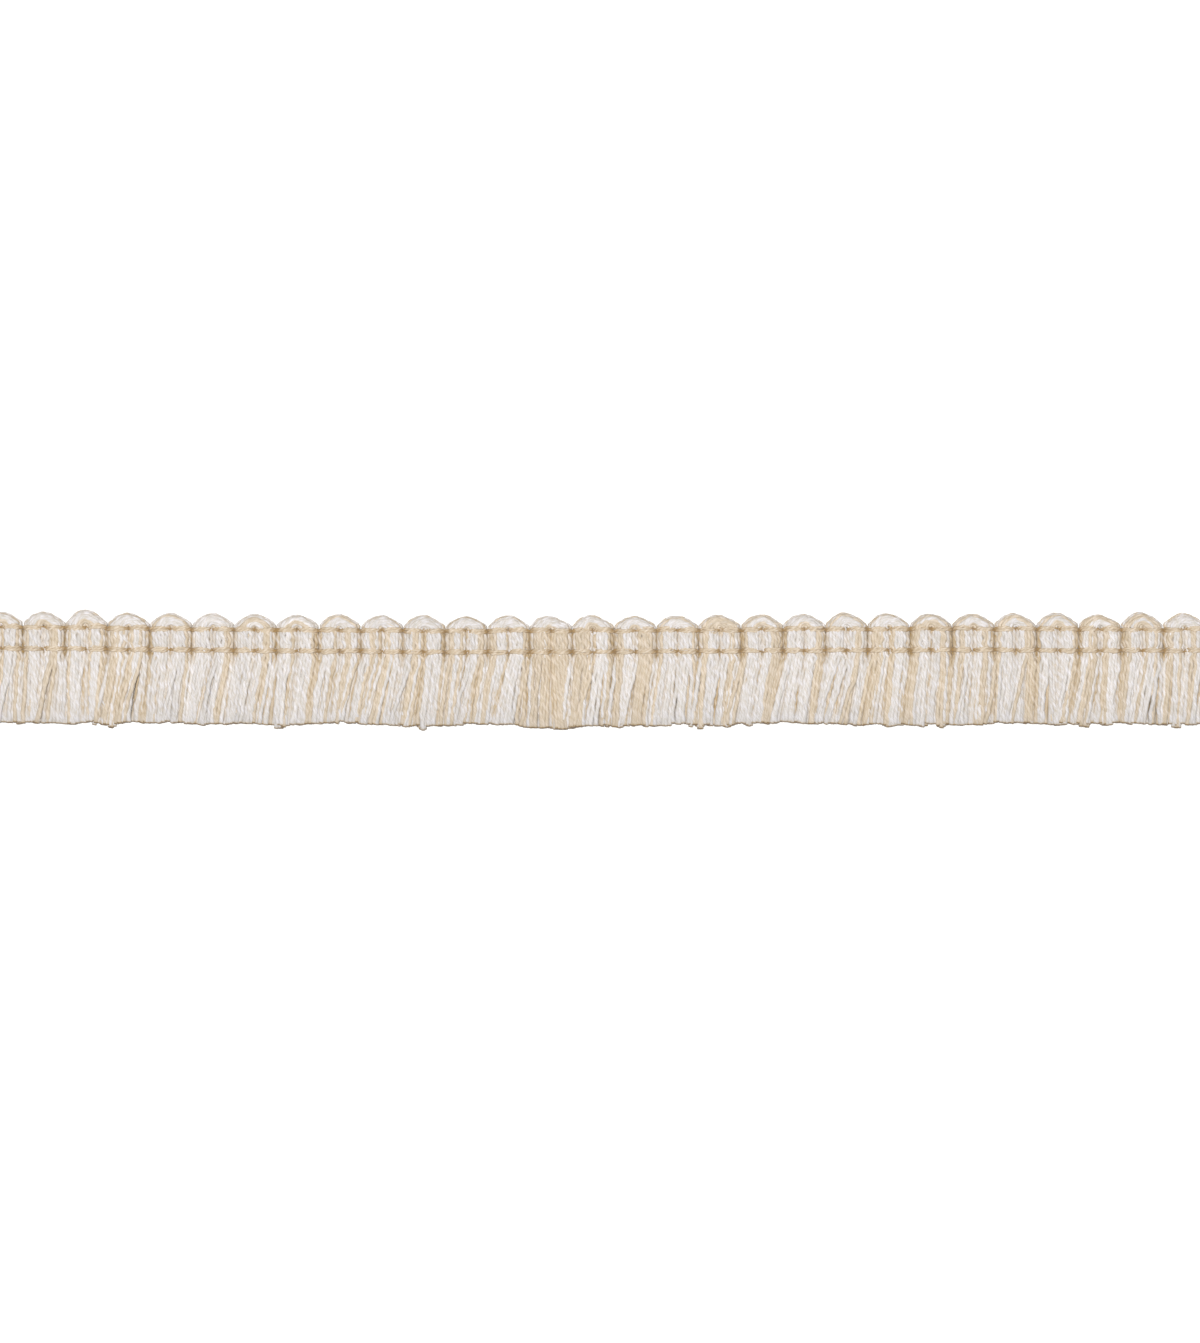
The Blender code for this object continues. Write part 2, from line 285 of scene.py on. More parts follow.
# How deeply dyed fibres and pale ones differ from the yarn's colour, in red, green and blue
DEEP_TINT = (0.85, 0.83, 0.77)
PALE_TINT = (1.08, 1.08, 1.12)
# Fibres are 0.02 mm thick. They are drawn wider than that, to show at all.
FIBRE_LONG, FIBRE_WIDE, FIBRE_STAND = 1.8, 0.4, 0.06
AROUND = 3.9            # once around a yarn
DYE_PATCH = 5.0         # the dye is deeper here and there, this far apart
PATCHES_AROUND = 0.4
PLY_PALER = 0.05          # one of the two plies is this much paler than the other
SHADE_POWER = 1.3        # only the deepest grooves take the full painted shade, warmest there


def spun_yarn(name, colour, hollow, cut_end):
    """Combed cotton and viscose, spun and plied: matt, with a soft sheen from its fibre ends.

    The fibres show as fine pale streaks along each ply. The grooves and hollows between yarns
    carry painted shade, darker and warmer, as the light that leaves them went from yarn to yarn.
    Painted shade darkens the rim of each cut end, and faintly the last millimetres before it.
    No two yarns took quite the same depth of dye."""
    material, tree, shader = new_material(name, {
        "Roughness": 0.82, "IOR": 1.5, "Specular IOR Level": 0.25, "Sheen Weight": 0.3,
        "Sheen Roughness": 0.5})
    lay = add_node(tree, "UVMap", uv_map="yarn_lay")
    own = add_node(tree, "Attribute", attribute_name="shade")
    painted_shade = add_node(tree, "Attribute", attribute_name="painted_shade")

    stretch = add_node(tree, "Mapping", [
        ("Vector", lay.outputs[0]), ("Scale", (1 / FIBRE_LONG, AROUND / FIBRE_WIDE, 1.0))])
    fibres = add_node(tree, "TexNoise", [
        ("Vector", stretch.outputs[0]), ("Scale", 1.0), ("Detail", 3.0), ("Roughness", 0.6)])
    patch = add_node(tree, "Mapping", [
        ("Vector", lay.outputs[0]), ("Scale", (1 / DYE_PATCH, PATCHES_AROUND, 1.0))])
    dye = add_node(tree, "TexNoise", [
        ("Vector", patch.outputs[0]), ("Scale", 1.0), ("Detail", 1.0)])

    place = add_node(tree, "SeparateXYZ", [("Vector", lay.outputs[0])])
    angle = add_node(tree, "Math", [
        (0, place.outputs["Y"]), (1, 2 * math.pi)], operation="MULTIPLY")
    ply = add_node(tree, "Math", [(0, angle.outputs[0])], operation="SINE")
    tufted = add_node(tree, "Math", [
        (0, ply.outputs[0]), (1, PLY_PALER), (2, fibres.outputs["Fac"])], operation="MULTIPLY_ADD")
    streak = add_node(tree, "MapRange", [
        ("Value", tufted.outputs[0]), ("From Min", 0.36), ("From Max", 0.64)])
    ground = add_node(tree, "Mix", [
        ("Factor", streak.outputs[0]), (6, tinted(colour, DEEP_TINT)),
        (7, tinted(colour, PALE_TINT))], data_type="RGBA")
    shade_weight = add_node(tree, "Math", [
        (0, painted_shade.outputs["Fac"]), (1, SHADE_POWER)], operation="POWER")
    deep = add_node(tree, "Mix", [
        ("Factor", shade_weight.outputs[0]), (6, ground.outputs[2]), (7, hollow)], data_type="RGBA")
    # Painted shade past 1 is a cut end: a dark painted rim on a yarn's side, the fibre ends' own
    # colour on its flat face.
    past = add_node(tree, "Math", [
        (0, painted_shade.outputs["Fac"]), (1, 1.0)], operation="SUBTRACT", use_clamp=True)
    ends = add_node(tree, "Mix", [
        ("Factor", past.outputs[0]), (6, deep.outputs[2]), (7, cut_end)], data_type="RGBA")
    tone = add_node(tree, "Math", [
        (0, own.outputs["Fac"]), (1, dye.outputs["Fac"])], operation="ADD")
    # From the dullest yarn to the brightest, the painted shade towards the cut ends included
    level = add_node(tree, "MapRange", [
        ("Value", tone.outputs[0]), ("From Min", -2.5), ("From Max", 1.5), ("To Min", 0.72),
        ("To Max", 1.08)])
    dyed = add_node(tree, "HueSaturation", [
        ("Color", ends.outputs[2]), ("Value", level.outputs[0])])
    bump = add_node(tree, "Bump", [
        ("Height", fibres.outputs["Fac"]), ("Strength", 0.35), ("Distance", FIBRE_STAND * MM)])
    tree.links.new(dyed.outputs[0], shader.inputs["Base Color"])
    tree.links.new(bump.outputs[0], shader.inputs["Normal"])
    return material


PEEL_WIDE, PEEL_DEEP = 2.0, 0.02        # the orange peel of sprayed paint


def painted_board(name, colour):
    """A table top sprayed with matt white emulsion: almost no gloss, and a faint orange peel."""
    material, tree, shader = new_material(name, {
        "Base Color": colour, "Roughness": 0.9, "Specular IOR Level": 0.1})
    place = add_node(tree, "TexCoord")
    peel = add_node(tree, "TexNoise", [
        ("Vector", place.outputs["Object"]), ("Scale", 1 / (PEEL_WIDE * MM))])
    bump = add_node(tree, "Bump", [
        ("Height", peel.outputs["Fac"]), ("Strength", 0.05), ("Distance", PEEL_DEEP * MM)])
    tree.links.new(bump.outputs[0], shader.inputs["Normal"])
    return material


# ---- yarn and thread

WANDER = 0.07           # the twist pulls a yarn this far off its line, round and round
PLY_WAIST = 0.19        # how much thinner a yarn is where its two plies meet
FEWEST_IN_A_TURN = 5    # sections in one turn of the plies, for the plies to be drawn
# How far from a cut end its last sections lie, and how much painted shade each takes, darkest at
# the cut
END_SECTIONS = (0.0, 0.45, 0.9)
END_SHADES = (2.0, 0.33, 0.0)
# Towards a cut end the plies open up, so their grooves fade and the yarn grows a little thicker
OPEN_LENGTH = 4.0
OPEN_PLIES = 0.7        # how much of their waist the plies lose at the end
OPEN_HOLLOW = 0.45      # how much of the painted shade between the yarns goes there
OPEN_SWELL = 0.10       # how much thicker the yarn is there
SHORTEST_CUT = 20.0     # a shorter line is a link of the chain, which goes on into the next one
# Painted shade towards the cut ends, as the loose ends take less light: how much duller a yarn is,
# at lengths from its cut end
TIP_SHADE_AT = (0.0, 0.8, 1.1, 2.2, 4.4, 8.0, 11.0)
TIP_SHADE = (1.9, 1.65, 1.5, 0.95, 0.55, 0.1, 0.0)
CUT_ROUND = 0.9         # the shears round a cut end over to this much of its radius
PLY_SHADE = 0.33        # the groove between two plies is this much out of the light, as painted shade
# A yarn starts to lie in the shade of its neighbours at FACE_DEPTH under the face, and from there
# its colour takes painted shade. At one of the other depths further down, no light comes straight
# in and the painted shade is full.
FACE_DEPTH = 0.25
HOLLOW_DEPTH = 1.3
RIM_HOLLOW_DEPTH = 0.8  # at the rim of a scallop, so that the rim is painted darker
THREAD_HOLLOW_DEPTH = 1.15
UNDER_FACE = 0.5        # the share of its hollow depth for a yarn under the face of the brush, so it is painted darker
FINE_STEPS = 12         # steps from knot to knot, to measure a curve by
ROW_SHIFT = 7.3         # the fibres of each line start this much further on
BAKE_INSET, BAKE_GAP = 0.01, 0.1        # margins around a line's strip in the map for baking

# Lines of yarn that share a number of sections. points is (lines, sections, 3). radius, crown,
# the level of the face over each point, and hollow, how far under it the light ends, are
# (lines, sections). tan, shade and phase have a value for each line.
Lines = namedtuple("Lines", "points radius crown hollow tan shade phase")


def spline(knots, at_knots, at):
    """Smooth curves through knots, an array of (lines, knots, values)."""
    steps = np.diff(at_knots)[:, None]
    slopes = np.diff(knots, axis=1) / steps
    near, far = steps[:-1], steps[1:]
    inner = (slopes[:, :-1] * far + slopes[:, 1:] * near) / (near + far)
    tangents = np.concatenate((slopes[:, :1], inner, slopes[:, -1:]), axis=1)
    cell = np.clip(np.searchsorted(at_knots, at, side="right") - 1, 0, len(steps) - 1)
    step = steps[cell]
    t = (at - at_knots[cell])[:, None] / step
    return (
        (2 * t ** 3 - 3 * t ** 2 + 1) * knots[:, cell]
        + (t ** 3 - 2 * t ** 2 + t) * step * tangents[:, cell]
        + (3 * t ** 2 - 2 * t ** 3) * knots[:, cell + 1]
        + (t ** 3 - t ** 2) * step * tangents[:, cell + 1]
    )


def lengths(points):
    """How far along its line each point lies."""
    hops = np.linalg.norm(np.diff(points, axis=1), axis=2)
    return np.concatenate((np.zeros((len(points), 1)), np.cumsum(hops, axis=1)), axis=1)


def evenly(knots, values, sections):
    """Points at even steps along smooth curves through knots, and values at those points.

    values holds arrays of (lines, knots)."""
    at_knots = lengths(knots).mean(0)
    fine = np.linspace(0.0, at_knots[-1], FINE_STEPS * len(at_knots))
    known = np.concatenate((knots, np.stack(values, axis=2)), axis=2)
    ways = spline(known, at_knots, fine)
    out = np.empty((len(knots), sections, known.shape[2]))
    ends = np.array(END_SECTIONS)
    for line, (way, run) in enumerate(zip(ways, lengths(ways[:, :, :3]))):
        even = np.linspace(ends[-1], run[-1] - ends[-1], sections - 2 * len(ends) + 2)
        even = np.concatenate((ends[:-1], even, run[-1] - ends[-2::-1]))
        for value in range(known.shape[2]):
            out[line, :, value] = np.interp(even, run, way[:, value])
    return (out[:, :, :3], *np.moveaxis(out[:, :, 3:], 2, 0))


def from_cut(run):
    """How far the sections of each line lie from its nearer cut end. A link has none."""
    length = run[:, -1:]
    return np.where(length > SHORTEST_CUT, np.minimum(run, length - run), np.inf)[:, :, None]


def open_ends(run):
    """How far the plies of each line have opened at its sections, from 0 to 1 at a cut end."""
    return np.clip(1.0 - from_cut(run) / OPEN_LENGTH, 0.0, 1.0)


def swept(lines, ply_turn):
    """The surface points of two-ply lines, as (lines, sections, sides, 3), their lengths, and how
    far each surface point stands out."""
    points = lines.points
    ahead = np.gradient(points, axis=1)
    ahead /= np.linalg.norm(ahead, axis=2, keepdims=True)
    up = np.zeros_like(ahead)
    first = np.tile((0.0, 0.0, 1.0), (len(points), 1))
    for section in range(points.shape[1]):
        way = ahead[:, section]
        first = first - way * (first * way).sum(1, keepdims=True)
        first /= np.linalg.norm(first, axis=1, keepdims=True)
        up[:, section] = first
    side = np.cross(ahead, up)
    run = lengths(points)
    twist = (2 * math.pi * run / ply_turn + lines.phase[:, None])[:, :, None]
    # A line whose sections lie too far apart to show its plies is drawn round.
    plied = np.diff(run).mean() < ply_turn / FEWEST_IN_A_TURN
    if plied:
        points = points + WANDER * (np.cos(twist) * side + np.sin(twist) * up)

    # The first corner is at the back of the line, where its seam doesn't show.
    corners = 2 * math.pi * np.arange(SIDES) / SIDES - math.pi / 2
    opened = open_ends(run)
    waist = PLY_WAIST * (1.0 - np.cos(2 * (corners - twist))) / 2
    waist = waist * (1.0 - OPEN_PLIES * opened)
    stand = 1.0 - (waist if plied else np.full_like(waist, PLY_WAIST / 2))
    reach = lines.radius[:, :, None] * stand * (1.0 + OPEN_SWELL * opened)
    reach[:, [0, -1]] *= CUT_ROUND
    around = np.cos(corners)[:, None] * side[:, :, None]
    around += np.sin(corners)[:, None] * up[:, :, None]
    return points[:, :, None] + reach[..., None] * around, run, stand


def painted_shades(lines, surface, run, stand):
    """How much painted shade each surface point takes, as it is out of the light: 0 on the face, 1
    deep in, 2 at a cut end.
    """
    between_plies = PLY_SHADE * (1.0 - stand) / PLY_WAIST
    sunk = (lines.crown[:, :, None] - FACE_DEPTH - surface[..., 2]) / lines.hollow[:, :, None]
    sunk = np.clip(sunk, 0.0, 1.0) * (1.0 - OPEN_HOLLOW * open_ends(run))
    to_end = np.minimum(run, run[:, -1:] - run)
    at_end = np.interp(to_end, END_SECTIONS, END_SHADES)
    return np.maximum(np.clip(between_plies + sunk, 0.0, 1.0), at_end[:, :, None])


def line_faces(sections):
    """The four-sided faces of one line: along it, and on its two round ends."""
    ring, side = np.arange(sections - 1)[:, None] * SIDES, np.arange(SIDES)
    here, after = ring + side, ring + (side + 1) % SIDES
    walls = np.stack((here, after, after + SIDES, here + SIDES), axis=2).reshape(-1, 4)
    caps = []
    last = (sections - 1) * SIDES
    for step in range(SIDES // 2 - 1):
        a, b, c, d = step, step + 1, SIDES - 2 - step, SIDES - 1 - step
        caps.append((d, c, b, a))
        caps.append((last + a, last + b, last + c, last + d))
    return walls, np.array(caps)


def yarn_object(name, groups, ply_turn, materials):
    """One mesh of all the lines in groups, with the maps and values that the yarns' finish reads.

    materials holds a finish for each kind of yarn, and in a second half, if it has one, the
    finishes of their cut faces. In the map for baking each line is a strip of its own."""
    cut_faces = len(materials) // 2
    rows = sum(len(group.points) for group in groups)
    verts, faces, shade, painted_shade, kinds, lay, bake = [], [], [], [], [], [], []
    start, row = 0, 0
    for group in groups:
        surface, run, stand = swept(group, ply_turn)
        count, sections = run.shape
        verts.append(surface.reshape(-1, 3))
        walls, caps = line_faces(sections)
        # Each yarn's own depth of dye, less the painted shade towards its cut ends
        tip_shade = np.interp(from_cut(run), TIP_SHADE_AT, TIP_SHADE)
        own = np.broadcast_to(group.shade[:, None, None] - tip_shade, stand.shape)
        shade.append(own.ravel())
        painted_shade.append(painted_shades(group, surface, run, stand).ravel())
        # The sections of each face's corners, and how far round the line they lie
        corners = ((walls // SIDES, (walls[:, :1] % SIDES + [0, 1, 1, 0]) / SIDES),
                   (caps // SIDES, caps % SIDES / SIDES))
        for line in range(count):
            faces.append(walls + start)
            faces.append(caps + start)
            start += sections * SIDES
            kinds.append(np.full(len(walls), group.tan[line]))
            kinds.append(np.full(len(caps), group.tan[line] + cut_faces))
            length = run[line]
            start_turn = group.phase[line] / (2 * math.pi)
            shift = ROW_SHIFT * (row + 1)
            for along, around in corners:
                with_the_plies = around - length[along] / ply_turn - start_turn
                lay.append(np.stack((length[along] + shift, with_the_plies), axis=2))
                u = BAKE_INSET + (1 - 2 * BAKE_INSET) * along / (sections - 1)
                v = (row + BAKE_GAP + (1 - 2 * BAKE_GAP) * around) / rows
                bake.append(np.stack((u, v), axis=2))
            row += 1
    mesh = bpy.data.meshes.new(name)
    mesh.from_pydata(np.concatenate(verts) * MM, [], np.concatenate(faces))
    for material in materials:
        mesh.materials.append(material)
    mesh.polygons.foreach_set("material_index", np.concatenate(kinds).astype(np.int32))
    for map_name, places in (("yarn_lay", lay), ("OFBake", bake)):
        places = np.concatenate([part.reshape(-1, 2) for part in places])
        layer = mesh.uv_layers.new(name=map_name)
        layer.data.foreach_set("uv", places.astype(np.float32).ravel())
    for value_name, values in (("shade", shade), ("painted_shade", painted_shade)):
        layer = mesh.attributes.new(value_name, "FLOAT", "POINT")
        layer.data.foreach_set("value", np.concatenate(values).astype(np.float32))
    mesh.shade_smooth()
    return new_object(name, mesh)


# ---- bundles of yarn

# A place across a section goes from 0 at its inner edge to 1 at its outer one, and a level from
# 0 at the back to 1 at the face.
LEG_INWARDS = 0.03      # each leg lies this far towards the middle of its bundle
RIB_SUNK_IN, RIB_SUNK_OUT = 0.20, 0.31
BRUSH_SUNK = 0.12
TURN_SUNK_IN, TURN_SUNK_OUT = 0.2, 0.6
SUNK_POWER = 3          # a section keeps its height until near its edges
TURN_STAND = 0.05       # the rim yarn lies this far past the turn's height
TURN_DROP = 0.25        # how much lower the turn lies next to the stitches than at its peak
TURN_SQUEEZE, PEAK_SQUEEZE = 0.92, 0.06         # the second is added at the peak
INNER_ARCH = 0.1        # how much further out the innermost yarn lies at its peak
SWAY_POWER = 1.15       # the brush leans most next to the heading
STRAY_POWER = 1.2       # and a yarn strays most next to its cut end

BUNDLE_SEED = 100
HIDDEN_TAN = 3          # tan yarns under the face, beyond those that come up to it somewhere
EARLY_MOVE = 0.4        # how much of its change of place a yarn makes in the rib
# How far the yarns stray from even places and levels
TURN_TANGLE, RIB_TANGLE, BRUSH_TANGLE, SECOND_TANGLE = 0.008, 0.033, 0.02, 0.01
TURN_ROUGH, LEG_ROUGH = 0.02, 0.05
HIGHEST_LEVEL = 1.05
CLUMP_SIZE = (3, 6)     # at least the first and fewer than the second
CLUMP_ROOT = 3.0        # the locks draw together over the first third of the brush
LOCK_LIFT = 0.16        # spread of how high a lock's end lies
UNDER_LOOSE = 0.35      # how freely a yarn under the face moves, next to one on top
TIP_KNOTS = 5           # the points that shape the wave of a leg's cut edge
LONG_LOCK_HALF = 0.24   # half the width of a long lock, as a part of the leg's
LONG_LOCK = (0.5, 1.4)  # how much longer it is
CROSSING = 0.07         # the share of yarns that cross their neighbours
CROSSING_LEAN = (1.0, 2.6)
CROSSING_LIFT = 0.5
YARN_WAVE, YARN_LIFT = 0.10, 0.08
UNEVEN_SPINNING = 0.03
UNEVEN_DYE = 0.35


def sway(down):
    """How much of its lean the brush has reached, this far down."""
    return 1.0 - (1.0 - down) ** SWAY_POWER


def tip_levels(index):
    """How much longer than BRUSH a bundle's tips are: at its left edge, at the middle of its left
    leg, at its middle, at the middle of its right leg and at its right edge."""
    row = BUNDLES[index]
    before = BUNDLES[max(index - 1, 0)].right_extra
    after = BUNDLES[min(index + 1, len(BUNDLES) - 1)].left_extra
    left, right = row.left_extra, row.right_extra
    return ((before + left) / 2, left, (left + right) / 2, right, (right + after) / 2)


def leg_sections(side, leans, tip_y):
    """The sections of one leg, from the top of the heading down to the cut edge."""
    leg = side * (RIB / 2 - LEG_INWARDS)
    sections = []
    for rib in reversed(RIB_SECTIONS):
        inner = (leg - side * rib.inner, rib.y)
        outer = (leg + side * rib.outer, rib.y)
        foot = RIB_FOOT / (rib.inner + rib.outer)
        sections.append(Section(inner, outer, rib.floor, rib.crown, RIB_SUNK_IN, RIB_SUNK_OUT,
                                rib.squeeze, foot, rib.hollow, 0.0))
    root = RIB_SECTIONS[0]
    for down, crown in BRUSH_SECTIONS:
        y = root.y + (tip_y - root.y) * down
        inner = (-side * OVERLAP + leans[0] * sway(down), y)
        outer = (side * (RIB + OVERLAP) + leans[1] * sway(down), y)
        sections.append(Section(inner, outer, 0.0, crown, BRUSH_SUNK, BRUSH_SUNK, 1.0, 1.0,
                                HOLLOW_DEPTH, down))
    return sections


def turn_sections(row):
    """The sections across the turn of a bundle, from left to right."""
    sections = []
    for part in TURN_SECTIONS:
        angle = math.pi * part
        rise = math.sin(angle)
        bell = LEFT_BELL + (RIGHT_BELL - LEFT_BELL) * (1.0 - math.cos(angle)) / 2
        along = (1.0 - ELLIPSE) * (2 * part - 1) - ELLIPSE * math.cos(angle)
        x = (PEAK_SHIFT + row.peak_shift) * rise ** PEAK_POWER + SCALLOP_HALF * along
        top = SHOULDER_RISE + (row.height + TURN_STAND - SHOULDER_RISE) * rise ** bell
        inner = (0.0, ROW_SPACING + INNER_RISE + INNER_ARCH * rise)
        crown = TURN_CROWN - TURN_DROP * (1.0 - rise)
        squeeze = TURN_SQUEEZE + PEAK_SQUEEZE * rise
        sections.append(Section(inner, (x, ROW_SPACING + top), 0.0, crown, TURN_SUNK_IN,
                                TURN_SUNK_OUT, squeeze, 1.0, RIM_HOLLOW_DEPTH, 0.0))
    return sections


def bundle_sections(index):
    """The sections of a bundle, from the left cut edge over the turn to the right one, as one
    Section of arrays, and how many its left leg, its turn and its right leg have."""
    row = BUNDLES[index]
    next_lean = BUNDLES[index + 1].edge_lean if index + 1 < len(BUNDLES) else LAST_LEAN
    end_y = -BRUSH - (1.0 - TIP_RISE) * bow(bundle_x(index))
    left = leg_sections(-1, (row.middle_lean, row.edge_lean), end_y)[::-1]
    turn = turn_sections(row)
    right = leg_sections(1, (row.middle_lean, next_lean), end_y)
    columns = [np.array(column) for column in zip(*left, *turn, *right)]
    return Section(*columns), (len(left), len(turn), len(right))


def slots(order, hidden_tan, dice, from_inner):
    """Places across a section for all yarns of a bundle: the cream ones, then the tan ones.

    Each is a place across and a level. order gives the colours on top, and hidden_tan says how
    many tan yarns lie under them."""
    top = order if from_inner else order[::-1]
    cream, tan = [], []
    count = len(order)
    for at, letter in enumerate(top):
        (tan if letter == "t" else cream).append((at / (count - 1), LAYERS[0].level))
    under = []
    for layer in LAYERS[1:]:
        for at in range(count + layer.extra):
            under.append(((at - layer.extra / 2) / (count - 1), layer.level))
    picked = set(dice.permutation(len(under))[:hidden_tan])
    for at, place in enumerate(under):
        (tan if at in picked else cream).append(place)
    return np.array(sorted(cream)), np.array(sorted(tan))


def lay_out(row, yarn, dice):
    """Where the yarns of a bundle lie in its left leg, its turn and its right leg, as places and
    levels in an array of (yarns, 3, 2), and which of the yarns are tan."""
    total = sum(yarn.across + layer.extra for layer in LAYERS)
    orders = (row.left_yarns, row.turn_yarns, row.right_yarns)
    tans = [order.count("t") for order in orders]
    tan_count = min(max(tans) + HIDDEN_TAN, total - yarn.across + min(tans))
    # The yarns keep their places from one leg to the other as far as their colours allow.
    stations = []
    for order, on_top, from_inner in zip(orders, tans, (False, False, True)):
        cream, tan = slots(order, tan_count - on_top, dice, from_inner)
        stations.append(np.concatenate((cream, tan)))
    return np.stack(stations, axis=1), np.arange(total) >= total - tan_count


def places_between(stations, second, counts, down, dice):
    """How far across and how high up each yarn lies at each section, as arrays of (yarns,
    sections). second says which yarns stay in the second layer."""
    # How much each section takes of the places in the left leg, the turn and the right leg
    mix = np.repeat(np.eye(3), counts, axis=0)
    mix[counts[0] - 1] = (1.0 - EARLY_MOVE, EARLY_MOVE, 0.0)
    mix[-counts[2]] = (0.0, EARLY_MOVE, 1.0 - EARLY_MOVE)
    in_turn = mix[:, 1] == 1.0
    across, level = np.moveaxis(np.einsum("kc,ycv->ykv", mix, stations), 2, 0)
    tangle = np.where(in_turn, TURN_TANGLE, np.where(down > 0.0, BRUSH_TANGLE, RIB_TANGLE))
    tangle = np.where(second, SECOND_TANGLE, tangle)
    across = across + dice.normal(0.0, 1.0, across.shape) * tangle
    across = np.where(down > 0.0, across, np.clip(across, 0.0, 1.0))
    rough = np.where(in_turn, TURN_ROUGH, LEG_ROUGH)
    level = np.where(second & (down == 0.0), 1.0 - (1.0 - level) * RIB_PACKING, level)
    level = np.clip(level + dice.normal(0.0, 1.0, level.shape) * rough, 0.0, HIGHEST_LEVEL)
    return across, level


def clumps(places, dice):
    """For each place, the middle of the few neighbours that it draws together with."""
    order = np.argsort(places)
    middles = np.empty(len(places))
    at = 0
    while at < len(order):
        size = int(dice.integers(*CLUMP_SIZE))
        members = order[at:at + size]
        middles[members] = places[members].mean()
        at += size
    return middles


def gather_locks(across, stations, legs, down, brush, dice):
    """Draws the yarns on top of each leg together into locks, and gives the lean and the lift of
    each yarn's lock, as an array of (2, yarns, stations)."""
    locks = np.zeros((2, *stations.shape[:2]))
    for leg, station in legs:
        members = np.nonzero(stations[:, station, 1] == LAYERS[0].level)[0]
        places = stations[members, station, 0]
        middles = clumps(places, dice)
        pull = brush.clump * np.clip(down[leg] * CLUMP_ROOT, 0.0, 1.0)
        across[members, leg] += (middles - places)[:, None] * pull
        for middle in np.unique(middles):
            lock = members[middles == middle]
            locks[0, lock, station] = dice.normal(0.0, brush.lock_lean)
            locks[1, lock, station] = dice.normal(0.0, LOCK_LIFT)
    return locks


def laid_in(sections, across, level, diameter):
    """The points of the yarns in plan, and their heights, their radii and the top over them."""
    width = np.linalg.norm(sections.outer - sections.inner, axis=1)
    way = (sections.outer - sections.inner) / width[:, None]
    radius = diameter / 2 * (1.0 - (1.0 - sections.squeeze) * level)
    widened = 1.0 + (sections.foot - 1.0) * np.sqrt(np.clip(1.0 - level, 0.0, 1.0))
    reach = radius + (width - 2 * radius) * (0.5 + (across - 0.5) * widened)
    plan = sections.inner + way * reach[:, :, None]
    off = 2 * across - 1
    sunk = sections.sunk_in * np.clip(-off, 0.0, 1.0) ** SUNK_POWER
    sunk += sections.sunk_out * np.clip(off, 0.0, 1.0) ** SUNK_POWER
    top = sections.floor + (sections.crown - sections.floor) * (1.0 - sunk)
    height = sections.floor + radius + (top - sections.floor - 2 * radius) * level
    return plan, height, radius, top


def tip_lengths(ends, levels, brush, dice):
    """How much longer than BRUSH the yarns of a leg are, from where they end across it."""
    longer = np.interp(ends, (0.0, 0.5, 1.0), levels)
    waves = dice.normal(0.0, brush.tip_wave, TIP_KNOTS)
    longer += np.interp(ends, np.linspace(0.0, 1.0, TIP_KNOTS), waves)
    missed = np.clip(1.0 - np.abs(ends - dice.random()) / LONG_LOCK_HALF, 0.0, 1.0)
    longest = dice.uniform(*LONG_LOCK)
    longer += missed * (longest if dice.random() < brush.tip_locks else 0.0)
    return longer + dice.normal(0.0, brush.tip_uneven, len(ends))


def stray(down, loose, lock_lean, lock_lift, brush, dice):
    """How far the yarns of a leg stray to the side and up at each of its sections. loose says how
    freely each yarn moves."""
    shape = len(loose), len(down)
    lean = dice.normal(0.0, brush.stray, len(loose)) * loose
    crossing = dice.random(len(loose)) < CROSSING * loose
    lean = np.where(crossing, lean - dice.uniform(*CROSSING_LEAN, len(loose)), lean)
    lean += lock_lean
    aside = lean[:, None] * down ** STRAY_POWER
    aside += dice.normal(0.0, YARN_WAVE, shape) * loose[:, None] * (down > 0.0)
    lift = dice.normal(0.0, YARN_LIFT, shape)
    lift += crossing[:, None] * CROSSING_LIFT * np.sin(math.pi * down)
    lift += lock_lift[:, None] * np.sin(math.pi / 2 * down)
    return aside, lift * (down > 0.0)


